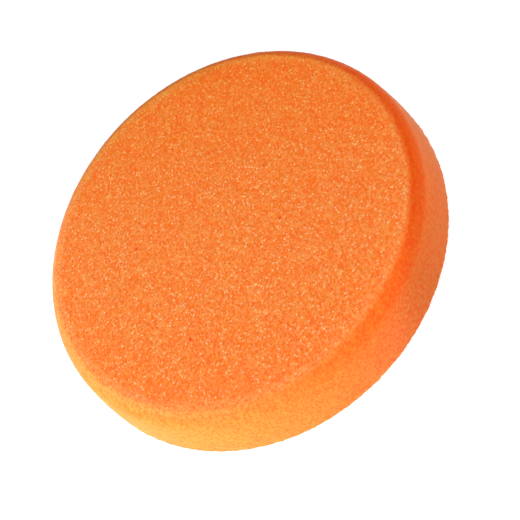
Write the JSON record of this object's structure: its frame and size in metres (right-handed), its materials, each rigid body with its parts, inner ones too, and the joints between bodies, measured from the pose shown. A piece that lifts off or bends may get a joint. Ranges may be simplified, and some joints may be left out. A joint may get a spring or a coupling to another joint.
{
  "type": "polishing pad",
  "caption": "Round orange foam polishing pad with a flat face, rounded edge, tapered flank and loop fabric backing.",
  "frame": {"origin": "centre of the loop face that the pad lies on", "axes": "+Z along the pad's axis from the loop face to the working face; the pad is round, so X and Y are free"},
  "size_m": [0.15, 0.15, 0.025],
  "materials": {
    "orange_foam": "matte",
    "hot_melt_film": "satin",
    "knit_ground": "matte",
    "brushed_loops": "matte"
  },
  "bodies": {
    "root": {"foam_disc": "orange_foam", "bond_film": "hot_melt_film", "loop_ground": "knit_ground", "loop_pile": "brushed_loops"}
  },
  "joints": []
}
